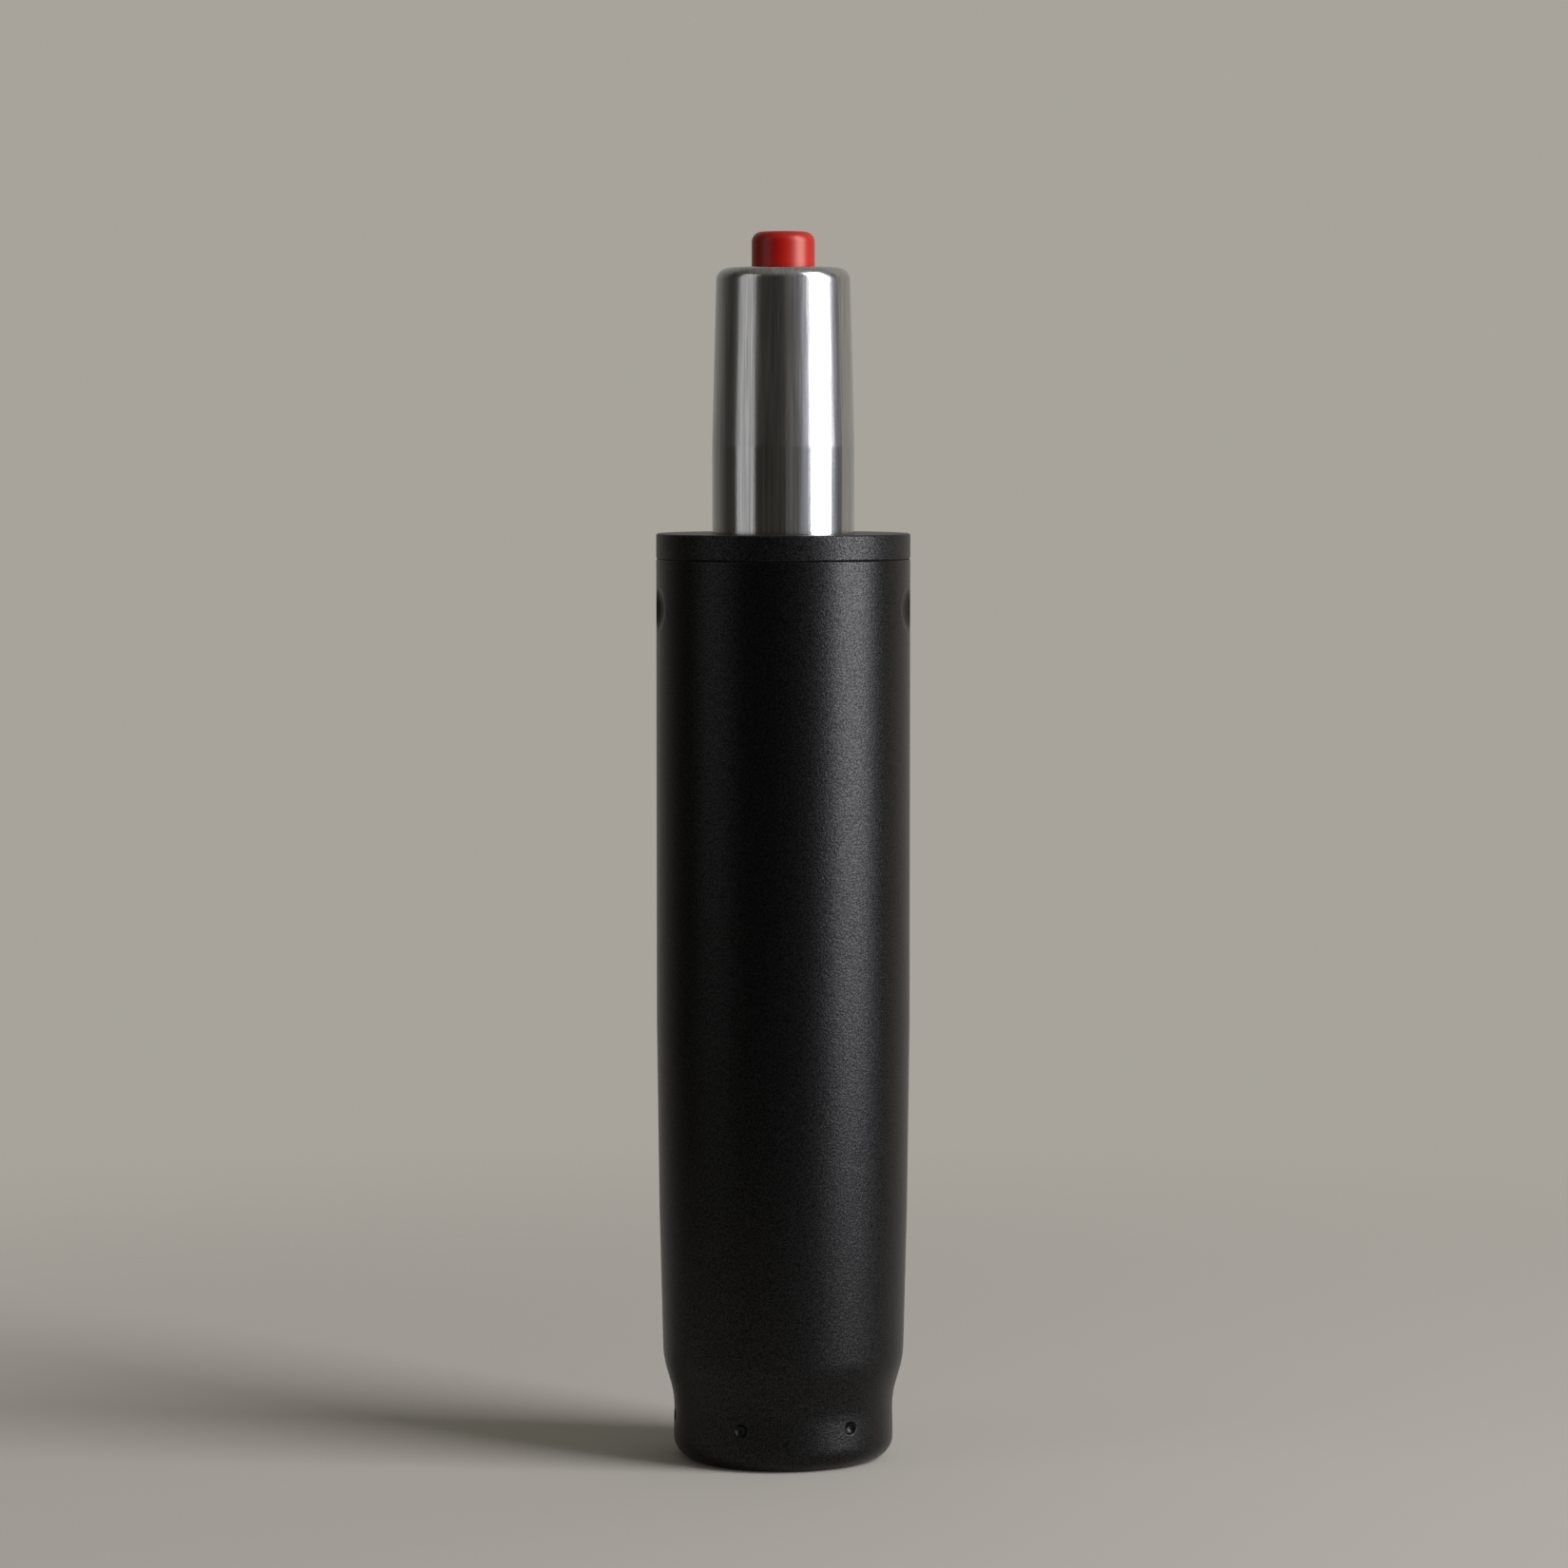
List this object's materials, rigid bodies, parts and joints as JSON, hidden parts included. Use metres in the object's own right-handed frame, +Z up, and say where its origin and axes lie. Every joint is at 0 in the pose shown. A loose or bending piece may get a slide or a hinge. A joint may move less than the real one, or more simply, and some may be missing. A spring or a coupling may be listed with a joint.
{
  "type": "gas spring",
  "caption": "Height-adjusting gas spring of a swivel chair: coned black column, guide bush, polished cylinder that slides and turns, and a red release button on top.",
  "frame": {"origin": "on the column's axis, in the plane of its foot, with the spring fully lowered", "axes": "+Z up along the axis to the release button; the pictured front faces -Y and +X is to its right"},
  "size_m": [0.05, 0.05, 0.2422],
  "materials": {
    "black_powder_coat": "satin, fine grain",
    "black_plastic": "satin, fine texture",
    "polished_steel": "polished and lightly brushed",
    "red_plastic": "satin",
    "plain_steel": "turned",
    "die_cast": "as cast",
    "pale_plastic": "matte",
    "rubber": "matte"
  },
  "bodies": {
    "column": {"outer_tube": "black_powder_coat", "guide_bush": "black_plastic", "base_plate": "plain_steel", "thrust_washer": "pale_plastic"},
    "piston_rod": {"piston_rod": "plain_steel", "retaining_clip": "plain_steel", "bumper": "rubber", "piston": "die_cast", "piston_seal": "rubber", "piston_nut": "plain_steel"},
    "gas_cylinder": {"pressure_tube": "polished_steel", "inner_tube": "plain_steel", "rod_guide": "die_cast", "rod_seal": "rubber", "centring_ring": "die_cast", "valve_body": "die_cast", "valve_seal": "rubber", "button_guide": "pale_plastic"},
    "release": {"release_button": "red_plastic", "valve_pin": "plain_steel"}
  },
  "joints": [
    {"name": "swivel", "type": "hinge", "parent": "column", "child": "piston_rod", "pos_m": [0, 0, 0], "axis": [0, 0, 1], "continuous": true},
    {"name": "height", "type": "slide", "parent": "piston_rod", "child": "gas_cylinder", "axis": [0, 0, 1], "range_m": [0, 0.1]},
    {"name": "button", "type": "slide", "parent": "gas_cylinder", "child": "release", "axis": [0, 0, -1], "range_m": [0, 0.0035], "stiffness_N_per_m": 3000, "springref_m": -0.005}
  ]
}
